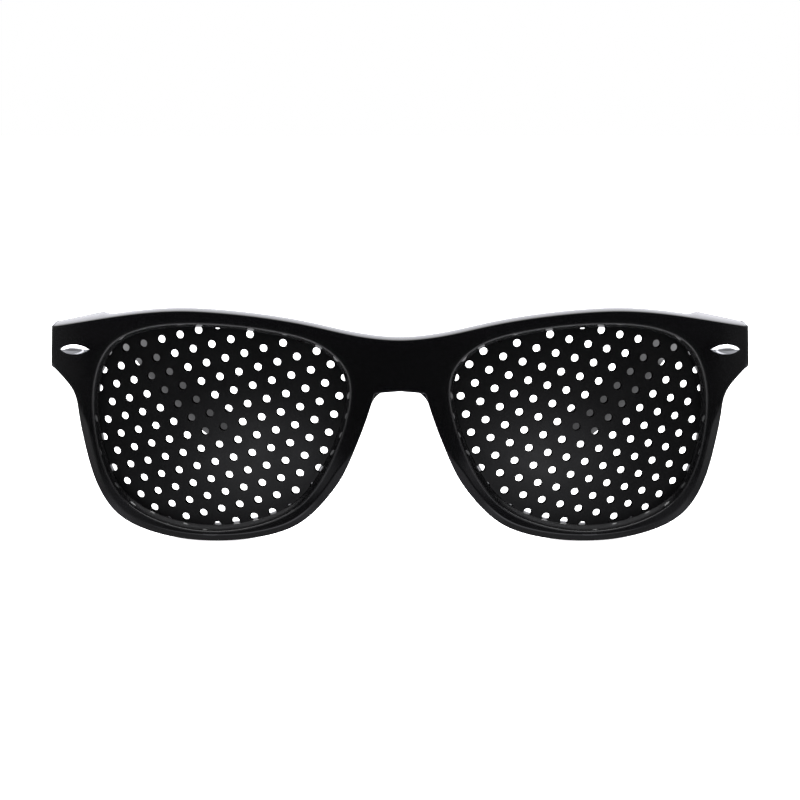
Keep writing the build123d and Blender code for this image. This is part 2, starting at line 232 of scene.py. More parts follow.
def depth(x, z, inset=0.0):
    """Depth of the front's face, or of a layer below it: two spheres joined by a hollow bend."""
    x = np.abs(x)
    lean = math.asin((FACE_CENTRE - BRIDGE_BLEND) / FACE_RADIUS)
    bend = BRIDGE_BLEND / math.sin(lean)
    blend_y = FACE_RADIUS * (1 - math.cos(lean))
    bend_y = blend_y - bend * math.cos(lean)
    hollow = bend_y + np.sqrt(np.maximum((bend + inset) ** 2 - x ** 2, 0))
    ball = FACE_RADIUS - np.sqrt((FACE_RADIUS - inset) ** 2 - (x - FACE_CENTRE) ** 2)
    profile = np.where(x < (bend + inset) * math.sin(lean), hollow, ball)
    return FACE_RADIUS - np.sqrt((FACE_RADIUS - profile) ** 2 - z ** 2)


# Points measured at a time, to keep the tables of distances small
CHUNK = 1500


def nearest(points, loops):
    """Distance to the loops, index of the nearest loop vertex, and whether each point is inside."""
    a = np.vstack(loops)
    b = np.vstack([np.roll(loop, -1, 0) for loop in loops])
    reach, index, inside = [], [], []
    for part in np.array_split(points, max(1, len(points) // CHUNK)):
        ab, ap = (b - a)[None], part[:, None] - a[None]
        t = np.clip((ap * ab).sum(2) / (ab ** 2).sum(2), 0, 1)
        gap = np.linalg.norm(ap - t[..., None] * ab, axis=2)
        k = gap.argmin(1)
        reach.append(gap[np.arange(len(part)), k])
        near_b = t[np.arange(len(part)), k] > 0.5
        index.append(np.where(near_b, following(loops)[k], k))
        above = (a[None, :, 1] > part[:, None, 1]) != (b[None, :, 1] > part[:, None, 1])
        with np.errstate(divide="ignore", invalid="ignore"):
            cross = a[None, :, 0] + (part[:, None, 1] - a[None, :, 1]) * (ab[..., 0] / ab[..., 1])
        inside.append((above & (part[:, None, 0] < cross)).sum(1) % 2 == 1)
    return np.concatenate(reach), np.concatenate(index), np.concatenate(inside)


def following(loops):
    """Index of the next vertex on the same loop, for all loops laid end to end."""
    out, start = [], 0
    for loop in loops:
        out.append(start + (np.arange(len(loop)) + 1) % len(loop))
        start += len(loop)
    return np.concatenate(out)


def rounding(reach, radius):
    """How far a rounded edge lies below the surface at a distance from the outline."""
    left = radius - np.minimum(reach, radius)
    return radius - np.sqrt(np.maximum(radius ** 2 - left ** 2, 0))


# Share of its offset that a ring's point keeps from every loop, the distance within which points
# become one, and the doubled area, in square millimetres, below which a triangle is left out
RING_CLEARANCE = 0.93
JOINED = 1e-5
SLIVER = 2e-4


def even_grid(low, high, spacing):
    """Points of a square grid over the box from low to high."""
    x, z = np.arange(low[0], high[0], spacing), np.arange(low[1], high[1], spacing)
    return np.stack(np.meshgrid(x, z), -1).reshape(-1, 2)


def skin(loops, offsets, spacing, fine=None):
    """Triangulated points inside the loops: rings that follow them, then an even grid.

    offsets are the rings' distances from each loop vertex, and fine tells where the grid is denser.
    Returns points, triangles, distances to the loops, nearest loop vertices and the loops' own points."""
    base = np.vstack(loops)
    inward = -np.vstack([loop_normals(loop) for loop in loops])
    step = following(loops)
    rings, edges, count = [], list(enumerate(step)), len(base)
    for offset in offsets:
        ring = base + inward * offset[:, None]
        reach, _, inside = nearest(ring, loops)
        safe = inside & (reach > RING_CLEARANCE * offset) & (offset > 0)
        rank = count + np.cumsum(safe) - 1
        edges += [(rank[i], rank[j]) for i, j in enumerate(step) if safe[i] and safe[j]]
        rings.append(ring[safe])
        count += len(rings[-1])
    low, high = base.min(0), base.max(0)
    grid = even_grid(low, high, spacing)
    grid[:, 0] += (np.round(grid[:, 1] / spacing) % 2) * spacing / 2
    margin = spacing * 0.5
    if fine is not None:
        third = spacing / 3
        dense = even_grid(low, high, third)
        grid = np.vstack([grid[~fine(grid)], dense[fine(dense)]])
        margin = third * 0.7
    reach, index, inside = nearest(grid, loops)
    last = np.max(offsets, axis=0)
    grid = grid[inside & (reach > last[index] + margin)]
    points = np.vstack([base] + rings + [grid])
    edges = [(int(i), int(j)) for i, j in edges]
    made = delaunay_2d_cdt([Vector(p) for p in points], edges, [], 0, JOINED)
    out = np.array([tuple(v) for v in made[0]])
    faces = np.array([f for f in made[2] if len(f) == 3])
    _, _, inside = nearest(out[faces].mean(1), loops)
    (ax, az), (bx, bz) = ((out[faces[:, k]] - out[faces[:, 0]]).T for k in (1, 2))
    inside &= np.abs(ax * bz - az * bx) > SLIVER
    reach, index, _ = nearest(out, loops)
    kept = {old: new for new, olds in enumerate(made[3]) for old in olds}
    border = np.array([kept[i] for i in range(len(base))])
    reach[border] = 0
    index[border] = np.arange(len(base))
    return out, faces[inside], reach, index, border


def slab(loops, near, far, spacing, fine=None):
    """Closed solid over the loops. near and far give a skin's offsets and its depth.

    Returns points (two plane coordinates and a depth) and faces."""
    sides = []
    for offsets, height, detail in ((*near, None), (*far, fine)):
        points, faces, reach, index, border = skin(loops, offsets, spacing, detail)
        sides.append((np.column_stack([points, height(points, reach, index)]), faces, border))
    (front, front_faces, front_border), (back, back_faces, back_border) = sides
    start = len(front)
    faces = [tuple(f) for f in front_faces] + [tuple(start + f[::-1]) for f in back_faces]
    step = following(loops)
    for i, j in enumerate(step):
        faces.append((front_border[i], front_border[j], start + back_border[j], start + back_border[i]))
    return np.vstack([front, back]), faces


def make_object(name, points, faces, material, normals=None, painted_highlight=None, crease=None):
    """Object from points in metres in the row frame, smooth except at turns over the crease, in degrees.

    normals, and the share of painted highlight from 0 up, are given per point."""
    mesh = bpy.data.meshes.new(name)
    mesh.from_pydata([tuple(p) for p in points], [], [tuple(int(i) for i in f) for f in faces])
    mesh.validate()
    piece = bpy.data.objects.new(name, mesh)
    scene.collection.objects.link(piece)
    mesh.polygons.foreach_set("use_smooth", [True] * len(mesh.polygons))
    if normals is not None:
        mesh.normals_split_custom_set_from_vertices([tuple(n) for n in normals])
    if crease is not None:
        mesh.set_sharp_from_angle(angle=math.radians(crease))
    # Share of the painted highlight lines, read by the black material
    if painted_highlight is not None:
        mesh.attributes.new("painted_highlight", "FLOAT", "POINT").data.foreach_set("value", painted_highlight)
    mesh.materials.append(material)
    return piece


def face_outward(points, faces):
    """Faces turned so that the closed solid has positive volume."""
    volume = 0.0
    for f in faces:
        for i in range(1, len(f) - 1):
            volume += np.dot(points[f[0]], np.cross(points[f[i]], points[f[i + 1]]))
    return faces if volume > 0 else [tuple(reversed(f)) for f in faces]


# Materials


def new_material(name, base, roughness, **inputs):
    material = bpy.data.materials.new(name)
    material.use_nodes = True
    shader = material.node_tree.nodes["Principled BSDF"]
    shader.inputs["Base Color"].default_value = (*base, 1)
    shader.inputs["Roughness"].default_value = roughness
    for key, value in inputs.items():
        shader.inputs[key.replace("_", " ")].default_value = value
    return material, material.node_tree, shader


def noise(tree, scale, detail=2.0, stretch=(1, 1, 1)):
    """Noise in the object's own metres."""
    coordinates = tree.nodes.new("ShaderNodeTexCoord")
    size = tree.nodes.new("ShaderNodeMapping")
    size.inputs["Scale"].default_value = stretch
    texture = tree.nodes.new("ShaderNodeTexNoise")
    texture.inputs["Scale"].default_value = scale
    texture.inputs["Detail"].default_value = detail
    tree.links.new(coordinates.outputs["Object"], size.inputs["Vector"])
    tree.links.new(size.outputs["Vector"], texture.inputs["Vector"])
    return texture.outputs["Fac"]


def spread(tree, source, low, high, start=0.3, stop=0.7):
    """The source's range from start to stop, mapped to low to high."""
    node = tree.nodes.new("ShaderNodeMapRange")
    for name, value in zip(("From Min", "From Max", "To Min", "To Max"), (start, stop, low, high)):
        node.inputs[name].default_value = value
    tree.links.new(source, node.inputs["Value"])
    return node.outputs["Result"]


def blend_colours(tree, source, first, second):
    """From the first colour to the second over the middle of the source's range."""
    ramp = tree.nodes.new("ShaderNodeValToRGB")
    ramp.color_ramp.elements[0].color = (*first, 1)
    ramp.color_ramp.elements[1].color = (*second, 1)
    ramp.color_ramp.elements[0].position = 0.3
    ramp.color_ramp.elements[1].position = 0.7
    tree.links.new(source, ramp.inputs["Fac"])
    return ramp.outputs["Color"]


def bump(tree, shader, source, strength, distance):
    """Relief from the source, as high as the distance in metres."""
    node = tree.nodes.new("ShaderNodeBump")
    node.inputs["Strength"].default_value = strength
    node.inputs["Distance"].default_value = distance
    tree.links.new(source, node.inputs["Height"])
    tree.links.new(node.outputs["Normal"], shader.inputs["Normal"])


# Lighter base colour that paints highlight lines along the lens lips
PAINTED_HIGHLIGHT_TONE = (0.045, 0.045, 0.046, 1)


def gloss_black():
    """Polished black moulding: faint waves from the mould, uneven polish and highlight lines painted along
    the lens lips.
    """
    material, tree, shader = new_material("gloss_black_plastic", (0.002, 0.002, 0.0024), 0.09)
    polish = noise(tree, 90, 4)
    tree.links.new(spread(tree, polish, 0.07, 0.14), shader.inputs["Roughness"])
    # Painted highlight: the base colour turns lighter by the mesh's share of painted highlight
    painted_highlight_share = tree.nodes.new("ShaderNodeAttribute")
    painted_highlight_share.attribute_name = "painted_highlight"
    tone = blend_colours(tree, noise(tree, 40), (0.0008, 0.0008, 0.001), (0.0014, 0.0014, 0.0017))
    mix = tree.nodes.new("ShaderNodeMix")
    mix.data_type = "RGBA"
    mix.inputs["B"].default_value = PAINTED_HIGHLIGHT_TONE
    tree.links.new(painted_highlight_share.outputs["Fac"], mix.inputs["Factor"])
    tree.links.new(tone, mix.inputs["A"])
    tree.links.new(mix.outputs["Result"], shader.inputs["Base Color"])
    bump(tree, shader, noise(tree, 260, 1), 0.06, 0.0002)
    return material


def satin_black():
    """Satin lens moulding with the fine grain of an etched mould."""
    material, tree, shader = new_material("satin_lens_plastic", (0.0018, 0.0018, 0.002), 0.36)
    tree.links.new(spread(tree, noise(tree, 160, 3), 0.32, 0.4), shader.inputs["Roughness"])
    tone = blend_colours(tree, noise(tree, 1400, 2), (0.0005, 0.0005, 0.0006), (0.0011, 0.0011, 0.0013))
    tree.links.new(tone, shader.inputs["Base Color"])
    bump(tree, shader, noise(tree, 2600, 2), 0.25, 0.00003)
    return material


def bright_metal():
    """Polished stud with fine polishing lines."""
    material, tree, shader = new_material("polished_stud_metal", (0.85, 0.86, 0.88), 0.1, Metallic=1.0)
    lines = noise(tree, 900, 3, (1, 1, 6))
    tree.links.new(spread(tree, lines, 0.06, 0.18), shader.inputs["Roughness"])
    tone = blend_colours(tree, noise(tree, 300), (0.78, 0.79, 0.81), (0.9, 0.91, 0.93))
    tree.links.new(tone, shader.inputs["Base Color"])
    bump(tree, shader, lines, 0.05, 0.00002)
    return material


def brushed_metal():
    """Stamped hinge steel, brushed along the hinge axis, a little darker in its hollows."""
    material, tree, shader = new_material("brushed_hinge_steel", (0.6, 0.6, 0.62), 0.35, Metallic=1.0)
    lines = noise(tree, 1500, 4, (1, 1, 0.08))
    tree.links.new(spread(tree, lines, 0.26, 0.46), shader.inputs["Roughness"])
    tone = blend_colours(tree, lines, (0.48, 0.48, 0.5), (0.68, 0.68, 0.7))
    tree.links.new(tone, shader.inputs["Base Color"])
    bump(tree, shader, lines, 0.2, 0.00002)
    return material


def turned_metal():
    """Screw steel with rings from turning."""
    material, tree, shader = new_material("turned_screw_steel", (0.68, 0.68, 0.7), 0.28, Metallic=1.0)
    rings = noise(tree, 2200, 2, (0.1, 0.1, 1))
    tree.links.new(spread(tree, rings, 0.2, 0.38), shader.inputs["Roughness"])
    tone = blend_colours(tree, rings, (0.55, 0.55, 0.57), (0.75, 0.75, 0.77))
    tree.links.new(tone, shader.inputs["Base Color"])
    bump(tree, shader, rings, 0.2, 0.00002)
    return material


BLACK, SATIN, STUD = gloss_black(), satin_black(), bright_metal()
STEEL, SCREW = brushed_metal(), turned_metal()


# Front: rounded edges, a bevel along the lower edge and a lip that slopes down to each lens

EDGE_RADIUS = 0.3
OPENING_RADIUS = 0.28
BACK_RADIUS = 0.6
OUTLINE_GROWTH = 0.28

# The bevel's size, and where it grows in: below the middle of the front and beside the bridge
BEVEL_WIDTH, BEVEL_DEPTH = 1.7, 0.8
BEVEL_BELOW = (-2.0, 5.0)
BEVEL_BESIDE = (8.5, 12.5)

LIP_WIDTH, LIP_DEPTH = 1.0, LENS_RECESS
LIP_BLEND = 0.35

# Painted highlight lines: least share, what the height adds to it, distance from the lens, half width,
# and the heights between which the share changes. One runs along the top of the lip, one low on it.
TOP_LINE, TOP_LINE_RISE = (0.2, 0.45, LIP_WIDTH, 0.2), (-10.0, 8.0)
LOW_LINE, LOW_LINE_FALL = (0.15, 2.2, 0.25, 0.25), (-26.0, -18.0)

# Blends where the back's parts meet, and the back's regions with a denser grid
BUTT_BLEND, CREST_BLEND, PAD_BLEND, END_BLEND = 0.5, 0.9, 0.7, 0.6
END_REACH = END_ROOT - 2
END_STEP = (END_BOTTOM - 0.12, END_BOTTOM + 0.3)
PAD_ACROSS, PAD_UPWARD = (5, 24), (-26, 2)

# Rings that the mesh has along its edges, as turns of a rounding or as shares of a width
RING_TURNS = np.radians([18, 36, 54, 72, 90])
LIP_RINGS = (0.12, 0.3, 0.5, 0.8, 0.88, 0.96, 1.04, 1.12, 1.2, 1.4)
BEVEL_RINGS = (0.45, 0.75, 0.97, 1.03)
BEVEL_RINGS_OVER = 0.35
FRONT_SPACING = 1.2


def smooth_top(a, b, blend):
    """The larger of two depths, with a fillet where they meet."""
    h = np.clip(0.5 + 0.5 * (a - b) / blend, 0, 1)
    return b + (a - b) * h + blend * h * (1 - h)


def smooth_step(value, low, high):
    """From 0 at low to 1 at high, level at both ends."""
    t = np.clip((value - low) / (high - low), 0, 1)
    return t * t * (3 - 2 * t)


def bevel_share(points):
    """Share of the full bevel at each point of the outline: none along the brow or at the bridge."""
    return smooth_step(-points[:, 1], *BEVEL_BELOW) * smooth_step(np.abs(points[:, 0]), *BEVEL_BESIDE)


def painted_highlight_line(line, height_share, reach):
    """Painted highlight along a line at a distance from the lens."""
    least, gain, at, half_width = line
    return (least + gain * height_share) * np.exp(-((reach - at) / half_width) ** 2)


def end_depth(x, z):
    """Back of the end pieces: the butt that the temple meets and the slope that leads to it."""
    lean = math.radians(TEMPLE_LEAN)
    butt = HINGE_Y + (-HINGE_BACK + (z - HINGE_Z) * math.sin(lean)) / math.cos(lean)
    root = depth(END_ROOT, 0.0) + THICKNESS / 2
    slope = root + (np.abs(x) - END_ROOT) * (BUTT_DEPTH - root) / (END_INNER - END_ROOT)
    return -smooth_top(-butt, -slope, BUTT_BLEND)


def pad_depth(x, z):
    """Back of the nose pads: a crescent along the nose edge whose inner side slopes outward."""
    high, low = np.array(place([NOSE[1], RIM[-1]], RIM_DROP))
    middle = (high + low) / 2
    along = (low - high) / np.linalg.norm(low - high)
    back = depth(middle[0], middle[1]) + THICKNESS
    radius = (PAD_LENGTH ** 2 / 4 + PAD_DEPTH ** 2) / (2 * PAD_DEPTH)
    s = (np.abs(x) - middle[0]) * along[0] + (z - middle[1]) * along[1]
    w = -(np.abs(x) - middle[0]) * along[1] + (z - middle[1]) * along[0]
    crest = back + PAD_DEPTH - radius + np.sqrt(np.maximum(radius ** 2 - s ** 2, 0))
    crest -= np.maximum(w, 0) * math.tan(math.radians(PAD_SPLAY))
    side = back + w / math.tan(math.radians(PAD_SPLAY))
    return -smooth_top(-crest, -side, CREST_BLEND)


def back_depth(x, z):
    """Back of the front: even behind the face, with the end pieces and the nose pads raised."""
    base = depth(x, z, THICKNESS)
    pads = smooth_top(base, pad_depth(x, z), PAD_BLEND)
    ends = smooth_top(base, end_depth(x, z), END_BLEND)
    ends = base + (ends - base) * smooth_step(z, *END_STEP)
    return np.where(np.abs(x) > END_REACH, ends, pads)


def make_front():
    """The moulded front: a curved slab with a lower bevel, lens lips, end pieces and nose pads."""
    outer = front_outline()
    outward = loop_normals(outer)
    outer = outer + outward * (OUTLINE_GROWTH * bevel_share(outer) * np.abs(outward[:, 0]))[:, None]
    opening = opening_outline(-LIP_WIDTH, step=0.45)[::-1]
    loops = [outer, opening, mirrored(opening)]
    base = np.vstack(loops)
    on_outer = np.arange(len(base)) < len(outer)
    radius = np.where(on_outer, EDGE_RADIUS, 0)
    back_radius = np.where(on_outer, BACK_RADIUS, OPENING_RADIUS)
    share = np.where(on_outer, bevel_share(base), 0)
    width = BEVEL_WIDTH * share
    # Painted highlight share of each face point, kept as a mesh attribute
    painted_highlight = []  # of the face's points, in their order: near adds them

    def near(points, reach, index):
        rounded = rounding(reach, radius[index])
        safe = np.maximum(width[index], 1e-6)
        bevelled = BEVEL_DEPTH * share[index] * np.clip(1 - reach / safe, 0, 1)
        lip = smooth_top(LIP_DEPTH * (1 - reach / LIP_WIDTH), 0, LIP_BLEND)
        high = smooth_step(points[:, 1], *TOP_LINE_RISE)
        low = 1 - smooth_step(points[:, 1], *LOW_LINE_FALL)
        # Painted highlight lines along the lens lips: the top line stronger higher up, the low line
        # stronger lower down; none on the outer edge
        edges = painted_highlight_line(TOP_LINE, high, reach) + painted_highlight_line(LOW_LINE, low, reach)
        painted_highlight.extend(np.where(on_outer[index], 0, edges))
        below = np.where(on_outer[index], np.maximum(rounded, bevelled), lip)
        return depth(points[:, 0], points[:, 1]) + below

    def far(points, reach, index):
        return back_depth(points[:, 0], points[:, 1]) - rounding(reach, back_radius[index])

    def fine(points):
        x, z = np.abs(points[:, 0]), points[:, 1]
        ends = (x > END_REACH) & (z > END_BOTTOM - 1.5)
        pads = (x > PAD_ACROSS[0]) & (x < PAD_ACROSS[1]) & (z > PAD_UPWARD[0]) & (z < PAD_UPWARD[1])
        return ends | pads

    near_rings = [radius * (1 - math.cos(t)) for t in RING_TURNS]
    near_rings += [np.where(on_outer, 0, LIP_WIDTH * k) for k in LIP_RINGS]
    near_rings += [np.where(share > BEVEL_RINGS_OVER, width * k, 0) for k in BEVEL_RINGS]
    near_rings.append(np.where(share > BEVEL_RINGS_OVER, width + 0.4, radius + 0.4))
    far_rings = [back_radius * (1 - math.cos(t)) for t in RING_TURNS] + [back_radius + 0.3]
    points, faces = slab(loops, (near_rings, near), (far_rings, far), FRONT_SPACING, fine)
    points = row_points(points[:, [0, 2, 1]])
    painted_highlight += [0] * (len(points) - len(painted_highlight))
    faces = face_outward(points, faces)
    return make_object("front_moulding", points, faces, BLACK, painted_highlight=painted_highlight, crease=40)


front = make_front()
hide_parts("front_frame")
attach(front, "front")


WEB_POINTS, WEB_LEVELS = 20, 9


def make_web(side):
    """Rounded corner behind the arch, in the back half of the front's thickness."""
    start, middle, stop = place(WEB, RIM_DROP)
    corner = np.array(place(NOSE[-1:], RIM_DROP)[0]) * WEB_CORNER
    edge = arc(start, middle, stop, WEB_POINTS)
    inward = (corner - edge) / np.linalg.norm(corner - edge, axis=1, keepdims=True)
    levels = []
    for turn in np.radians(np.linspace(90, -90, WEB_LEVELS)):
        ring = edge + inward * EDGE_RADIUS * (1 - math.cos(turn))
        fore = depth(ring[:, 0], ring[:, 1], THICKNESS / 2) + EDGE_RADIUS
        back = depth(ring[:, 0], ring[:, 1], THICKNESS) - EDGE_RADIUS
        y = (fore if turn > 0 else back) - EDGE_RADIUS * math.sin(turn)
        levels.append(np.column_stack([ring[:, 0], y, ring[:, 1]]))
    ends = []
    for inset in (THICKNESS / 2, THICKNESS):
        ends.append(np.array([[corner[0], depth(corner[0], corner[1], inset), corner[1]]]))
    points = np.vstack(levels + ends)
    n, rows = len(edge), len(levels)
    faces = []
    for r in range(rows - 1):
        for i in range(n - 1):
            faces.append((r * n + i, r * n + i + 1, (r + 1) * n + i + 1, (r + 1) * n + i))
    for i in range(n - 1):
        faces.append((n * rows, i + 1, i))
        faces.append((n * rows + 1, (rows - 1) * n + i, (rows - 1) * n + i + 1))
    for i in (0, n - 1):
        rim = [r * n + i for r in range(rows)] + [n * rows + 1, n * rows]
        faces.append(tuple(rim if i else reversed(rim)))
    points[:, 0] *= side
    points = row_points(points)
    web = make_object("bridge_web_" + side_name(side), points, face_outward(points, faces), BLACK)
    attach(web, "front")


for side in (-1, 1):
    make_web(side)


# Lenses: how far the sheet and the middles of its holes reach past the opening, and the mesh's detail

LENS_REACH = 1.9
HOLE_REACH = 0.95
HOLE_CHAMFER = 0.08
HOLE_POINTS = 28
LATTICE_REACH = 12
LENS_STEP = 1.2
BORDER_CLEARANCE = 0.4


def make_lens(side):
    """Lens with round holes, all parallel, each with a slightly broken edge."""
    turn = math.radians(HOLE_TURN)
    out = np.array([math.sin(turn), -math.cos(turn), 0])
    across = np.array([math.cos(turn), math.sin(turn), 0])
    up = np.array([0, 0, 1.0])
    centre = np.array([FACE_CENTRE, FACE_RADIUS, 0])
    front_radius = FACE_RADIUS - LENS_RECESS
    back_radius = front_radius - LENS_THICKNESS

    def plane(outline):
        x, z = outline.T
        y = FACE_RADIUS - np.sqrt(front_radius ** 2 - (x - FACE_CENTRE) ** 2 - z ** 2)
        spot = np.column_stack([x, y, z]) - centre
        return np.stack([spot @ across, spot @ up], 1)

    border = plane(opening_outline(LENS_REACH, step=LENS_STEP))
    limit = plane(opening_outline(HOLE_REACH, step=LENS_STEP))
    middle = np.array([LENS_SPACING / 2, -OPENING_DROP])
    origin = plane(middle[None])[0] + np.array(PATTERN_SHIFT) * HOLE_PITCH
    first, second = (np.radians(PATTERN_TURN + k) for k in (0, 60))
    i, j = np.meshgrid(*[np.arange(-LATTICE_REACH, LATTICE_REACH + 1)] * 2)
    axes = np.array([[np.cos(row), np.sin(row)] for row in (first, second)])
    lattice = origin + np.stack([i.ravel(), j.ravel()], 1) @ axes * HOLE_PITCH
    holes = lattice[nearest(lattice, [limit])[2]]
    between = np.vstack([lattice + (axes[0] + axes[1]) * HOLE_PITCH / 3,
                         lattice + (2 * axes[1] - axes[0]) * HOLE_PITCH / 3])
    reach, _, inside = nearest(between, [border])
    between = between[inside & (reach > BORDER_CLEARANCE)]

    turns = np.linspace(0, 2 * math.pi, HOLE_POINTS, endpoint=False)
    circle = np.stack([np.cos(turns), np.sin(turns)], 1)
    radius = HOLE_DIAMETER / 2
    wide = (holes[:, None] + circle[None] * (radius + HOLE_CHAMFER)).reshape(-1, 2)
    bore = (holes[:, None] + circle[None] * radius).reshape(-1, 2)
    loops = [border] + list(wide.reshape(-1, HOLE_POINTS, 2))
    sheet = np.vstack([border, wide, between])
    edges, start = [], 0
    for loop in loops:
        edges += [(start + k, start + (k + 1) % len(loop)) for k in range(len(loop))]
        start += len(loop)
    made = delaunay_2d_cdt([Vector(p) for p in sheet], edges, [], 0, 1e-6)
    flat = np.array([tuple(v) for v in made[0]])
    faces = np.array([f for f in made[2] if len(f) == 3])
    centres = flat[faces].mean(1)
    gap = np.linalg.norm(centres[:, None] - holes[None], axis=2).min(1)
    _, _, inside = nearest(centres, [border])
    faces = faces[inside & (gap > (radius + HOLE_CHAMFER) * math.cos(math.pi / HOLE_POINTS) * 0.98)]
    kept = {old: new for new, olds in enumerate(made[3]) for old in olds}
    border_ids = np.array([kept[k] for k in range(len(border))])
    wide_ids = np.array([kept[len(border) + k] for k in range(len(wide))])

    def lift(flat_points, ball, drop=0.0):
        w = np.sqrt(ball ** 2 - (flat_points ** 2).sum(1)) + drop
        return centre + flat_points[:, :1] * across + flat_points[:, 1:] * up + w[:, None] * out

    face, bore_front = lift(flat, front_radius), lift(bore, front_radius, -HOLE_CHAMFER)
    back, bore_back = lift(flat, back_radius), lift(bore, back_radius, HOLE_CHAMFER)
    points = np.vstack([face, back, bore_front, bore_back])
    n, m = len(flat), len(bore)
    wall = -(np.tile(circle, (len(holes), 1)) @ np.stack([across, up]))
    normals = np.vstack([(face - centre) / front_radius, -(back - centre) / back_radius, wall, wall])
    solid = [tuple(f[::-1]) for f in faces] + [tuple(n + f) for f in faces]
    for h in range(len(holes)):
        for k in range(HOLE_POINTS):
            a, b = h * HOLE_POINTS + k, h * HOLE_POINTS + (k + 1) % HOLE_POINTS
            solid.append((wide_ids[a], wide_ids[b], 2 * n + b, 2 * n + a))
            solid.append((2 * n + a, 2 * n + b, 2 * n + m + b, 2 * n + m + a))
            solid.append((2 * n + m + a, 2 * n + m + b, n + wide_ids[b], n + wide_ids[a]))
    for k in range(len(border)):
        a, b = border_ids[k], border_ids[(k + 1) % len(border)]
        solid.append((b, a, n + a, n + b))
    points[:, 0] *= side
    points = row_points(points)
    tilt = math.radians(FRONT_TILT)
    normals = normals * (side, 1, 1)
    normals = np.stack([normals[:, 0], normals[:, 1] * math.cos(tilt) - normals[:, 2] * math.sin(tilt),
                        normals[:, 1] * math.sin(tilt) + normals[:, 2] * math.cos(tilt)], 1)
    name = side_name(side)
    lens = make_object("pinhole_lens_" + name, points, face_outward(points, solid), SATIN, normals)
    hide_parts("lens_" + name)
    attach(lens, "front")


for side in (-1, 1):
    make_lens(side)


# Temples: edges rounded little at the butt and more from a short way behind it

TEMPLE_RADIUS = 1.1
BUTT_RADIUS = 0.25
ROUNDING_GROWS = (0.5, 14.0)
STRAIGHT_STEP = 1.5
TEMPLE_SPACING = 1.6


def fillet(a, b, c, radius, step=0.8):
    """From a to c with the corner at b rounded."""
    a, b, c = (np.asarray(p, float) for p in (a, b, c))
    u, v = (a - b) / np.linalg.norm(a - b), (c - b) / np.linalg.norm(c - b)
    half = math.acos(np.clip(u @ v, -1, 1)) / 2
    cut = radius / math.tan(half)
    top = b + (u + v) / np.linalg.norm(u + v) * (radius / math.sin(half) - radius)
    count = max(5, round((math.pi - 2 * half) * radius / step))
    first, last = b + u * cut, b + v * cut
    return chain(line(a, first, STRAIGHT_STEP), arc(first, top, last, count), line(last, c, STRAIGHT_STEP))


def temple_side_outline():
    """Side view of the right temple about its hinge axis: back and up."""
    start = TEMPLE_GAP - HINGE_BACK
    bend, tip = np.array([BEND_AT, 0.0]), np.array([TIP_AT, TIP_RISE])
    turn = math.atan2(-TIP_RISE, TIP_AT - BEND_AT)
    along, up = np.array([math.cos(turn), -math.sin(turn)]), np.array([math.sin(turn), math.cos(turn)])
    corner = np.array([math.tan(turn / 2), 1]) * BAR_HALF
    top = fillet((start, BUTT_TOP), bend + corner, tip + up * TIP_RADIUS, BEND_OUTER)
    end = arc(tip + up * TIP_RADIUS, tip + along * TIP_RADIUS, tip - up * TIP_RADIUS, 24)
    low = fillet(tip - up * TIP_RADIUS, bend - corner, (start, -BUTT_BOTTOM), BEND_INNER)
    return chain(top, end, low, line((start, -BUTT_BOTTOM), (start, BUTT_TOP)))[:-1]


def make_temple(side):
    """Temple with rounded edges, bowed inward behind the head."""
    loop = temple_side_outline()
    middle = TEMPLE_INNER + TEMPLE_THICKNESS / 2 - BOW_RADIUS
    radius = BUTT_RADIUS + (TEMPLE_RADIUS - BUTT_RADIUS) * smooth_step(loop[:, 0], *ROUNDING_GROWS)

    def bow(y, offset):
        past = np.maximum(y - BOW_START, 0)
        return middle + np.sqrt((BOW_RADIUS + offset) ** 2 - past ** 2)

    def near(points, reach, index):
        return bow(points[:, 0], TEMPLE_THICKNESS / 2) - rounding(reach, radius[index])

    def far(points, reach, index):
        return bow(points[:, 0], -TEMPLE_THICKNESS / 2) + rounding(reach, radius[index])

    rings = [radius * (1 - math.cos(t)) for t in RING_TURNS]
    points, faces = slab([loop], (rings, near), (rings, far), TEMPLE_SPACING)
    points = temple_points(points[:, [2, 0, 1]])
    points[:, 0] *= side
    points = row_points(points)
    name = side_name(side)
    temple = make_object("temple_moulding_" + name, points, face_outward(points, faces), BLACK)
    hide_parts("temple_" + name)
    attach(temple, "temple_" + name)


for side in (-1, 1):
    make_temple(side)


# Studs: almonds with two slopes and a narrow flat between them, on two pins

STUD_LENGTH = 7.3
# Share of the length, half the width and height of each level
STUD_LEVELS = [(1.0, 1.03, -0.15), (1.0, 1.03, 0.05), (0.985, 0.98, 0.1),
               (0.82, 0.2, 0.57), (0.81, 0.15, 0.58)]
STUD_REACH, STUD_HEIGHT = HALF_WIDTH - 5.15, END_MIDDLE - 0.35
STUD_PIN_RADIUS, STUD_PIN_LENGTH, STUD_PIN_SPACING = 0.5, 2.4, 3.2
STUD_SLOPE = -6.0
TEMPLE_STUD_DISTANCE = 14.0
PIN_POINTS = 16


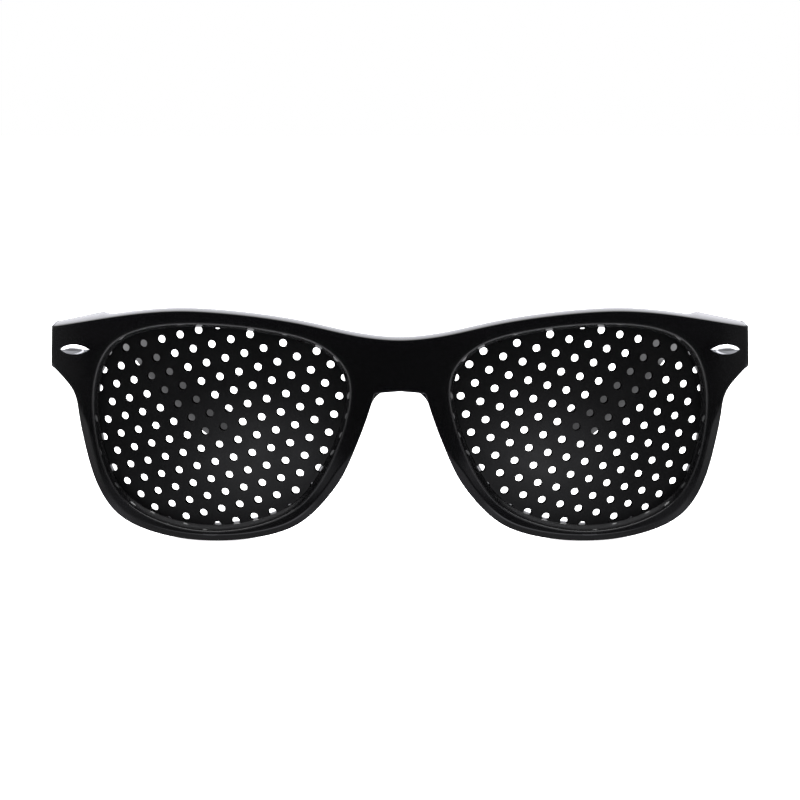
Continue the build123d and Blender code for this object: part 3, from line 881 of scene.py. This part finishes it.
def make_stud(node, body, side, to_row, origin, along, out):
    """Stud at a place, lying along one direction and standing out in another."""
    t = np.linspace(-1, 1, 25)
    rings = []
    for share, half, rise in STUD_LEVELS:
        upper = np.stack([t * share * STUD_LENGTH / 2, half * (1 - t ** 2)], 1)[:-1]
        ring = np.vstack([upper, -upper])
        rings.append(np.column_stack([ring, np.full(len(ring), rise)]))
    n = len(rings[0])
    points, faces = list(rings), []
    for k in range(len(rings) - 1):
        for i in range(n):
            j = (i + 1) % n
            faces.append((k * n + i, k * n + j, (k + 1) * n + j, (k + 1) * n + i))
    faces.append(tuple(range((len(rings) - 1) * n, len(rings) * n)))
    faces.append(tuple(range(n))[::-1])
    start = len(rings) * n
    turns = np.linspace(0, 2 * math.pi, PIN_POINTS, endpoint=False)
    for u in (-STUD_PIN_SPACING / 2, STUD_PIN_SPACING / 2):
        for rise in (-STUD_PIN_LENGTH, STUD_LEVELS[0][2]):
            circle = STUD_PIN_RADIUS * np.stack([np.cos(turns), np.sin(turns)], 1) + (u, 0)
            points.append(np.column_stack([circle, np.full(PIN_POINTS, rise)]))
        low, high = range(start, start + PIN_POINTS), range(start + PIN_POINTS, start + 2 * PIN_POINTS)
        faces += [(low[i - 1], low[i], high[i], high[i - 1]) for i in range(PIN_POINTS)]
        faces += [tuple(low)[::-1], tuple(high)]
        start += 2 * PIN_POINTS
    u, v, w = np.vstack(points).T
    along, out = (np.asarray(d, float) / np.linalg.norm(d) for d in (along, out))
    points = origin + u[:, None] * along + v[:, None] * np.cross(out, along) + w[:, None] * out
    points = to_row(points) * (side, 1, 1)
    name = side_name(side)
    stud = make_object(node + "_almond_" + name, points, face_outward(points, faces), STUD, crease=25)
    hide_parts(node + "_" + name)
    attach(stud, body)


stud_depth = float(depth(STUD_REACH, STUD_HEIGHT))
stud_out = np.array([STUD_REACH - FACE_CENTRE, stud_depth - FACE_RADIUS, STUD_HEIGHT])
for side, name in ((-1, "left"), (1, "right")):
    make_stud("front_stud", "front", side, row_points, (STUD_REACH, stud_depth, STUD_HEIGHT),
              (-stud_out[1], stud_out[0], STUD_SLOPE), stud_out)
    make_stud("temple_stud", "temple_" + name, side, lambda p: row_points(temple_points(p)),
              (TEMPLE_INNER + TEMPLE_THICKNESS, TEMPLE_STUD_DISTANCE, 0), (0, 1, 0), (1, 0, 0))


# Carried-over solids: hinge halves and screws


def dress(node, material, width):
    """A fitting material, and edges broken by a small bevel."""
    piece = nodes[node]
    piece.data.materials.clear()
    piece.data.materials.append(material)
    bevel = piece.modifiers.new("broken_edges", "BEVEL")
    bevel.width = width * MM
    bevel.segments = 2
    bevel.limit_method = "ANGLE"
    bevel.angle_limit = math.radians(35)
    bevel.harden_normals = True


for name in ("left", "right"):
    dress("front_hinge_" + name, STEEL, 0.12)
    dress("temple_hinge_" + name, STEEL, 0.12)
    dress("hinge_screw_" + name, SCREW, 0.06)


# Floor, light and camera. The studio's brightness by direction, as (part of the direction along one
# axis, brightness): the walls and the sky's share of them, the ground, the paler patch that the lenses
# mirror, the back, the sides, the flanks low on each side, the strip right below, and the roof.

WALL_LIGHT = [(-0.9, 0.06), (1.0, 1.5), (-0.2, 0.18), (0.5, 0.8)]
SKY_SHARE = [(-0.08, 0.0), (0.05, 1.0)]
GROUND_LIGHT = [(-0.98, 0.22), (-0.02, 0.04), (-0.75, 0.08), (-0.35, 0.04)]
PATCH_HIGH = [(-0.66, 0.0), (-0.3, 0.0), (-0.5, 1.0)]
PATCH_WIDE = [(-0.36, 0.0), (0.36, 0.0), (0.0, 2.6)]
BACK_LIGHT = [(0.08, 0.0), (0.32, 0.9)]
SIDE_LIGHT = [(-0.95, 0.45), (0.95, 0.45), (-0.66, 0.0), (0.66, 0.0)]
FLANK_WIDE = [(-0.62, 0.4), (0.62, 0.4), (-0.3, 0.0), (0.3, 0.0)]
FLANK_HIGH = [(-0.72, 1.0), (-0.45, 0.0)]
BELOW_HIGH = [(-0.92, 1.0), (-0.8, 0.0)]
BELOW_DEEP = [(-0.42, 0.0), (0.0, 0.0), (-0.27, 1.3), (-0.13, 1.3)]
ROOF_LIGHT = [(0.54, 0.0), (0.7, 1.3)]


FLOOR_REACH = 6.0


def make_floor():
    mesh = bpy.data.meshes.new("floor")
    corners = [(x * FLOOR_REACH, y * FLOOR_REACH, 0) for x, y in ((-1, -1), (1, -1), (1, 1), (-1, 1))]
    mesh.from_pydata(corners, [], [(0, 1, 2, 3)])
    floor = bpy.data.objects.new("floor", mesh)
    scene.collection.objects.link(floor)
    material, tree, shader = new_material("pale_floor", (0.86, 0.86, 0.86), 0.9, Emission_Strength=1.0)
    shader.inputs["Emission Color"].default_value = (1, 1, 1, 1)
    mesh.materials.append(material)
    floor.visible_glossy = False


def area_light(name, spot, aim, size, energy, glossy=True):
    light = bpy.data.lights.new(name, "AREA")
    light.shape = "RECTANGLE"
    light.size, light.size_y = size
    light.energy = energy
    lamp = bpy.data.objects.new(name, light)
    lamp.location = spot
    lamp.rotation_euler = (Vector(aim) - Vector(spot)).to_track_quat("-Z", "Y").to_euler()
    lamp.visible_camera = False
    lamp.visible_glossy = glossy
    scene.collection.objects.link(lamp)


def make_world():
    """Soft studio: bright behind the object, dark on the camera's side, paler towards the floor."""
    world = bpy.data.worlds.new("studio")
    scene.world = world
    world.use_nodes = True
    tree = world.node_tree
    tree.nodes.clear()
    coordinates = tree.nodes.new("ShaderNodeTexCoord")
    split = tree.nodes.new("ShaderNodeSeparateXYZ")
    tree.links.new(coordinates.outputs["Generated"], split.inputs["Vector"])

    def ramp(axis, stops):
        """Brightness by one part of the direction. The first two stops are the outermost."""
        shift = tree.nodes.new("ShaderNodeMapRange")
        shift.inputs["From Min"].default_value = -1
        node = tree.nodes.new("ShaderNodeValToRGB")
        elements = node.color_ramp.elements
        for k, (value, grey) in enumerate(stops):
            element = elements[k] if k < 2 else elements.new((value + 1) / 2)
            element.position = (value + 1) / 2
            element.color = (grey, grey, grey * 1.03, 1)
        tree.links.new(split.outputs[axis], shift.inputs["Value"])
        tree.links.new(shift.outputs["Result"], node.inputs["Fac"])
        return node.outputs["Color"]

    def combine(way, first, second):
        node = tree.nodes.new("ShaderNodeMix")
        node.data_type = "RGBA"
        node.blend_type = way
        node.inputs["Factor"].default_value = 1
        tree.links.new(first, node.inputs["A"])
        tree.links.new(second, node.inputs["B"])
        return node.outputs["Result"]

    above = combine("MULTIPLY", ramp("Y", WALL_LIGHT), ramp("Z", SKY_SHARE))
    light = tree.nodes.new("ShaderNodeBackground")
    plain = tree.nodes.new("ShaderNodeBackground")
    plain.inputs["Color"].default_value = (1, 1, 1, 1)
    seen = tree.nodes.new("ShaderNodeLightPath")
    mix = tree.nodes.new("ShaderNodeMixShader")
    out = tree.nodes.new("ShaderNodeOutputWorld")
    patch = combine("MULTIPLY", ramp("Z", PATCH_HIGH), ramp("X", PATCH_WIDE))
    below = combine("MULTIPLY", ramp("Z", BELOW_HIGH), ramp("Y", BELOW_DEEP))
    ground = combine("LIGHTEN", combine("LIGHTEN", patch, below), ramp("Z", GROUND_LIGHT))
    above = combine("LIGHTEN", above, ramp("Z", ROOF_LIGHT))
    flank = combine("MULTIPLY", ramp("X", FLANK_WIDE), ramp("Z", FLANK_HIGH))
    around = combine("LIGHTEN", combine("LIGHTEN", ramp("X", SIDE_LIGHT), ramp("Y", BACK_LIGHT)), flank)
    glow = combine("LIGHTEN", above, combine("LIGHTEN", ground, around))
    tree.links.new(glow, light.inputs["Color"])
    tree.links.new(seen.outputs["Is Camera Ray"], mix.inputs["Fac"])
    tree.links.new(light.outputs["Background"], mix.inputs[1])
    tree.links.new(plain.outputs["Background"], mix.inputs[2])
    tree.links.new(mix.outputs["Shader"], out.inputs["Surface"])


def make_camera():
    """Camera on the line that looks down at the front's plane by the camera's tilt."""
    tilt = math.radians(CAMERA_TILT)
    back = CAMERA_DISTANCE
    spot = row_points([(0, -back * math.cos(tilt), back * math.sin(tilt) - CAMERA_DROP)])[0]
    camera = bpy.data.cameras.new("camera")
    camera.sensor_width = SENSOR
    camera.lens = FOCAL_PIXELS / IMAGE_SIZE * SENSOR
    camera.shift_x = (IMAGE_SIZE / 2 - PRINCIPAL[0]) / IMAGE_SIZE
    camera.shift_y = (PRINCIPAL[1] - IMAGE_SIZE / 2) / IMAGE_SIZE
    camera.clip_start = 0.01
    viewer = bpy.data.objects.new("camera", camera)
    viewer.location = spot
    viewer.rotation_euler = (math.radians(90 - (CAMERA_TILT - FRONT_TILT)), 0, 0)
    scene.collection.objects.link(viewer)
    scene.camera = viewer


make_floor()
make_world()
area_light("overhead", (0, 0.15, 1.2), (0, 0, 0), (3.2, 1.2), 50)
area_light("behind", (0, 1.4, 0.7), (0, 0, 0), (1.8, 0.8), 12, glossy=False)
make_camera()
scene.view_settings.view_transform = "Standard"
